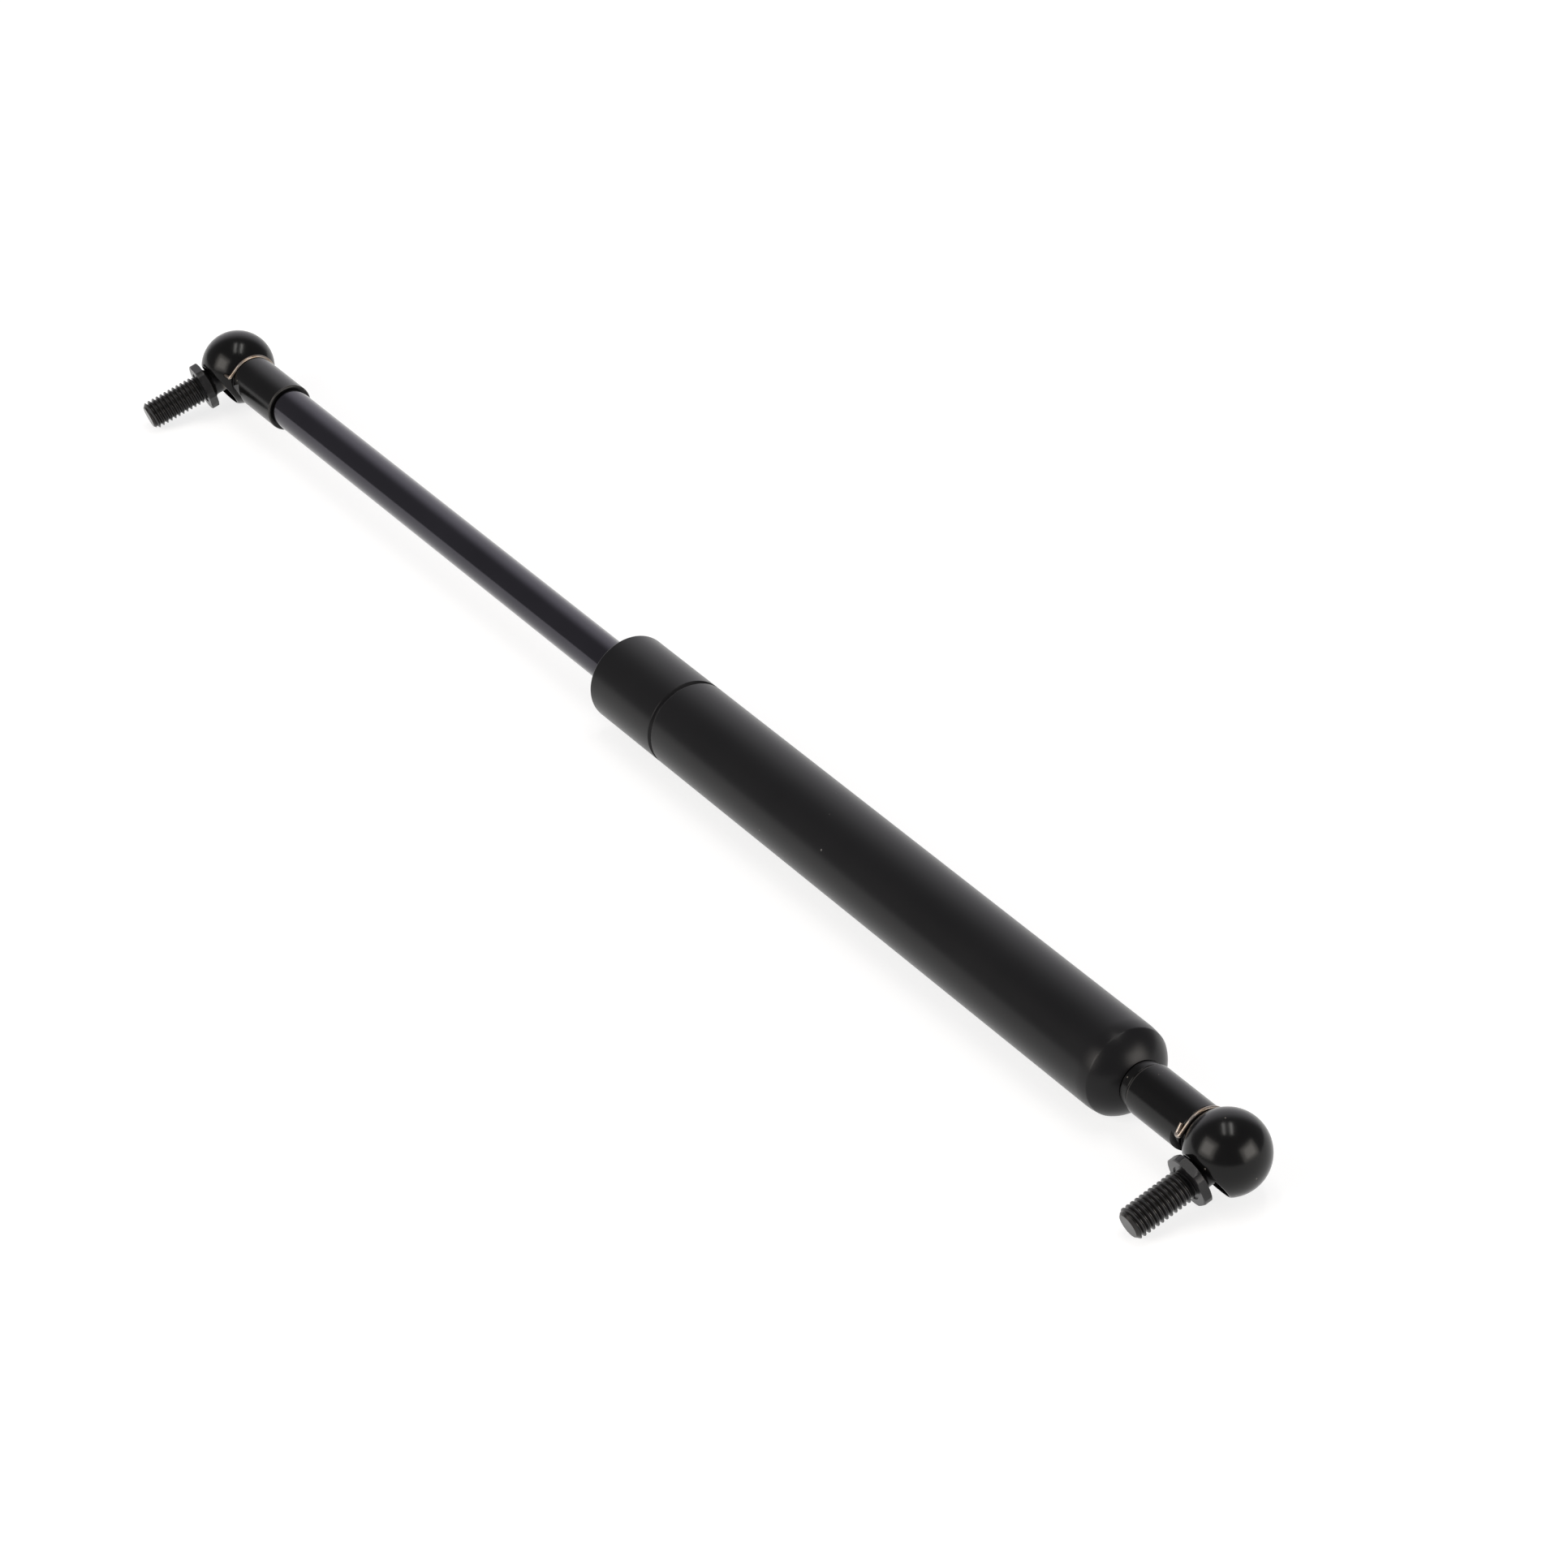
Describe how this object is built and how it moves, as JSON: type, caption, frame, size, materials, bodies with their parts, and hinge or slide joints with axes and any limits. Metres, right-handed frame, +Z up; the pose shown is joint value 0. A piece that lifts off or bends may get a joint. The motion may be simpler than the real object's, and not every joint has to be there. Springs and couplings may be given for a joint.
{
  "type": "gas strut stay",
  "caption": "Extended gas spring stay with a steel angle ball joint and threaded ball stud on each end, for holding up a window, flap or shutter.",
  "frame": {"origin": "bottom centre of the bounding box, midway between the two ball centres along the strut, on the surface that the strut lies on", "axes": "+X along the strut from the rod-end ball to the cylinder-end ball, -Y the side that both ball studs point to, +Z up"},
  "size_m": [0.472, 0.0394, 0.023],
  "materials": {
    "tube_paint": "satin black paint",
    "hard_rod": "black nitrided and polished",
    "socket_black": "black plated steel",
    "stud_steel": "black oxide",
    "plain_steel": "turned steel",
    "spring_wire": "bright drawn wire",
    "seal_rubber": "matte",
    "guide_plastic": "moulded"
  },
  "bodies": {
    "cylinder": {"pressure_tube": "tube_paint", "end_plug": "plain_steel", "wiper_ring": "seal_rubber", "guide_bush": "guide_plastic", "rod_seal": "seal_rubber", "seal_support_washer": "plain_steel", "stop_sleeve": "guide_plastic", "cylinder_end_socket": "socket_black", "cylinder_end_clip": "spring_wire"},
    "piston_ring_body": {"piston_ring": "guide_plastic"},
    "rod": {"piston_rod": "hard_rod", "piston": "plain_steel", "piston_front_washer": "plain_steel", "piston_rear_washer": "plain_steel", "rod_end_socket": "socket_black", "rod_end_clip": "spring_wire"},
    "rod_end_ring": {"rod_end_snap_ring": "spring_wire"},
    "rod_end_stud": {"rod_end_ball_stud": "stud_steel"},
    "cylinder_end_ring": {"cylinder_end_snap_ring": "spring_wire"},
    "cylinder_end_stud": {"cylinder_end_ball_stud": "stud_steel"}
  },
  "joints": [
    {"name": "rod_slide", "type": "slide", "parent": "cylinder", "child": "piston_ring_body", "axis": [1, 0, 0], "range_m": [0, 0.16], "stiffness_N_per_m": 520, "springref_m": -0.48},
    {"name": "rod_turn", "type": "hinge", "parent": "piston_ring_body", "child": "rod", "pos_m": [-0.226, 0.00819, 0.0115], "axis": [1, 0, 0], "continuous": true},
    {"name": "rod_end_swivel", "type": "hinge", "parent": "rod", "child": "rod_end_ring", "pos_m": [-0.226, 0.00819, 0.0115], "axis": [0, -0.8746, -0.4848], "continuous": true},
    {"name": "rod_end_tilt", "type": "hinge", "parent": "rod_end_ring", "child": "rod_end_stud", "pos_m": [-0.226, 0.00819, 0.0115], "axis": [-0.8697, 0.2393, -0.4317], "range_deg": [-32.2, 3.7]},
    {"name": "cylinder_end_swivel", "type": "hinge", "parent": "cylinder", "child": "cylinder_end_ring", "pos_m": [0.226, 0.00819, 0.0115], "axis": [0, -0.8434, -0.5373], "continuous": true},
    {"name": "cylinder_end_tilt", "type": "hinge", "parent": "cylinder_end_ring", "child": "cylinder_end_stud", "pos_m": [0.226, 0.00819, 0.0115], "axis": [-1, 0, 0], "range_deg": [-34.1, 1.8]}
  ]
}
